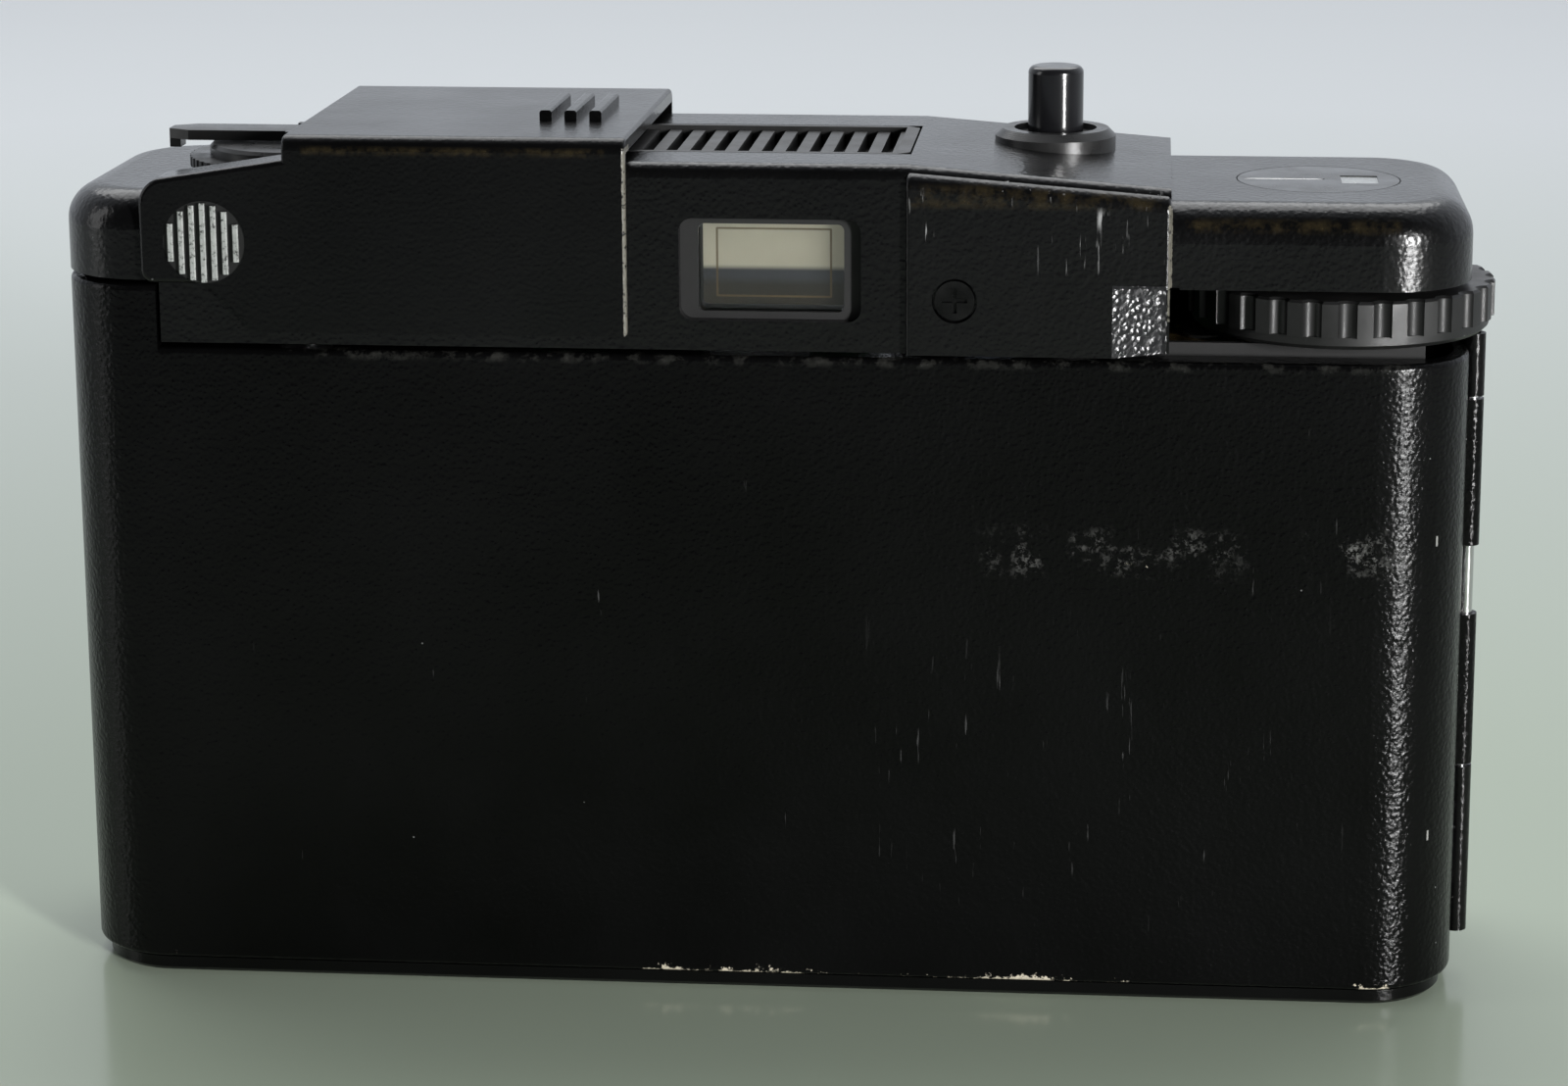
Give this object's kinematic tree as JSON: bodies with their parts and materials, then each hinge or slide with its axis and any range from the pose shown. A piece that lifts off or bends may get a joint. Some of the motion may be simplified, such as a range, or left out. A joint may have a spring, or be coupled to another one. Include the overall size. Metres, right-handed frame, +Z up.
{
  "type": "stereo camera",
  "caption": "Compact stereo film camera with a row of lenses, hinged back, sliding finder cover, thumbwheel advance, fold-down rewind crank and tall shutter button.",
  "frame": {"origin": "middle of the body's footprint, on the underside of the base plate", "axes": "+Z up, +Y towards the lenses, so the hinged back faces -Y; +X towards the hinge and the thumbwheel"},
  "size_m": [0.1397, 0.0411, 0.0897],
  "materials": {
    "black_shell": "fine grained satin paint",
    "black_inner": "matte black moulding",
    "black_gloss": "gloss",
    "black_anodised": "black anodised",
    "steel": "satin",
    "brass": "plain",
    "glass": "clear coated",
    "smoked": "smoked",
    "board": "solder mask",
    "cell_metal": "satin"
  },
  "bodies": {
    "camera": {"chassis": "black_inner", "upper_plate": "black_inner", "lower_plate": "black_inner", "cassette_well": "black_inner", "spool_well": "black_inner", "light_tunnels": "black_inner", "film_rails": "steel", "front_cover": "black_shell", "top_cover": "black_shell", "base_plate": "black_shell", "lens_panel": "black_shell", "lens_barrels": "black_anodised", "front_elements": "glass", "rear_elements": "glass", "lens_bezels": "black_inner", "shutter_plate": "steel", "shutter_solenoid": "steel", "finder_housing": "black_inner", "eyepiece_lens": "glass", "finder_objective": "glass", "finder_window": "glass", "sensor_window": "smoked", "light_sensor": "black_inner", "top_grille": "black_inner", "circuit_board": "board", "release_switch": "black_inner", "button_collar": "black_anodised", "button_spring": "steel", "counter_cap": "black_inner", "counter_window": "glass", "hinge_pin": "steel", "tripod_bush": "brass", "battery_cells": "cell_metal", "rear_screw": "steel", "base_screw_set": "steel"},
    "door": {"door_shell": "black_shell", "pressure_plate": "steel", "pressure_spring": "steel", "cassette_spring": "steel"},
    "wheel": {"thumbwheel": "black_inner", "wheel_gear": "brass", "take_up_spool": "black_inner"},
    "idler": {"idler_gear": "brass"},
    "sprocket": {"sprocket_shaft": "black_inner", "sprocket_gear": "brass"},
    "counter": {"counter_gear": "brass", "counter_disc": "black_inner"},
    "rewind": {"rewind_shaft": "steel", "rewind_disc": "black_anodised", "rewind_knob": "black_anodised", "crank_pin": "steel"},
    "crank": {"rewind_crank": "black_gloss"},
    "finder_cover": {"sliding_cover": "black_shell", "cover_grip": "black_inner"},
    "button": {"shutter_button": "black_gloss"},
    "shutter": {"shutter_blade": "steel"},
    "latch": {"latch_slide": "black_inner"},
    "battery_lid": {"battery_cover": "black_anodised"},
    "rewind_button": {"rewind_release": "black_inner"}
  },
  "joints": [
    {"name": "door_hinge", "type": "hinge", "parent": "camera", "child": "door", "pos_m": [0.0692, -0.005, 0], "axis": [0, 0, 1], "range_deg": [0, 110]},
    {"name": "cover_slide", "type": "slide", "parent": "camera", "child": "finder_cover", "axis": [1, 0, 0], "range_m": [0, 0.0264]},
    {"name": "wheel_spin", "type": "hinge", "parent": "camera", "child": "wheel", "pos_m": [0.0563, -0.0026, 0.068], "axis": [0, 0, 1], "continuous": true},
    {"name": "idler_spin", "type": "hinge", "parent": "camera", "child": "idler", "pos_m": [0.0485, 0.00188, 0.064], "axis": [0, 0, 1], "continuous": true},
    {"name": "sprocket_spin", "type": "hinge", "parent": "camera", "child": "sprocket", "pos_m": [0.04307, -0.0053, 0.035], "axis": [0, 0, 1], "continuous": true},
    {"name": "counter_spin", "type": "hinge", "parent": "camera", "child": "counter", "pos_m": [0.054, -0.0003, 0.076], "axis": [0, 0, 1], "continuous": true},
    {"name": "rewind_spin", "type": "hinge", "parent": "camera", "child": "rewind", "pos_m": [-0.0475, 0.0005, 0.08], "axis": [0, 0, 1], "continuous": true},
    {"name": "crank_fold", "type": "hinge", "parent": "rewind", "child": "crank", "pos_m": [-0.047, 0.0005, 0.0828], "axis": [0, 1, 0], "range_deg": [0, 90]},
    {"name": "button_press", "type": "slide", "parent": "camera", "child": "button", "axis": [0, 0, -1], "range_m": [0, 0.0018], "stiffness_N_per_m": 300, "springref_m": -0.003, "deforming": ["button_spring"]},
    {"name": "shutter_slide", "type": "slide", "parent": "camera", "child": "shutter", "axis": [-1, 0, 0], "range_m": [0, 0.008], "stiffness_N_per_m": 20, "springref_m": -0.005},
    {"name": "latch_release", "type": "slide", "parent": "camera", "child": "latch", "axis": [0, 0, 1], "range_m": [0, 0.003], "stiffness_N_per_m": 150, "springref_m": -0.004},
    {"name": "battery_lid_turn", "type": "hinge", "parent": "camera", "child": "battery_lid", "pos_m": [0.0185, 0.003, 0.001], "axis": [0, 0, 1], "range_deg": [0, 45]},
    {"name": "rewind_button_press", "type": "slide", "parent": "camera", "child": "rewind_button", "axis": [0, 0, 1], "range_m": [0, 0.0015], "stiffness_N_per_m": 300, "springref_m": -0.002}
  ],
  "couplings": [
    {"joint": "idler_spin", "follows": "wheel_spin", "ratio": -1.25},
    {"joint": "sprocket_spin", "follows": "wheel_spin", "ratio": 1},
    {"joint": "counter_spin", "follows": "wheel_spin", "ratio": 0.38095}
  ]
}
